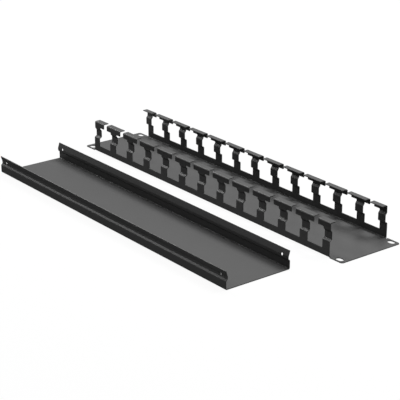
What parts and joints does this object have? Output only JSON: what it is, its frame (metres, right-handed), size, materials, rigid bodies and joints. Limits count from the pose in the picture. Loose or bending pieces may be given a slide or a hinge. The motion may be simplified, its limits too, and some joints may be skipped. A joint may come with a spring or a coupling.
{
  "type": "rack cable management panel",
  "caption": "Two rack unit horizontal cable manager: a folded black steel panel with rows of T shaped fingers and slotted ears, with its channel cover taken off and lying beside it",
  "frame": {"origin": "centre of the panel's back face, which is the centre of the pattern of its four rack slots", "axes": "+X along the rack opening, +Y up the rack when mounted, +Z out of the rack towards the user; the part lies on its back face, and its cover lies beside it at -Y"},
  "size_m": [0.4826, 0.2243, 0.0393],
  "materials": {
    "powder_coat": "matte black powder coat"
  },
  "bodies": {
    "root": {"finger_panel": "powder_coat", "cover": "powder_coat"}
  },
  "joints": []
}
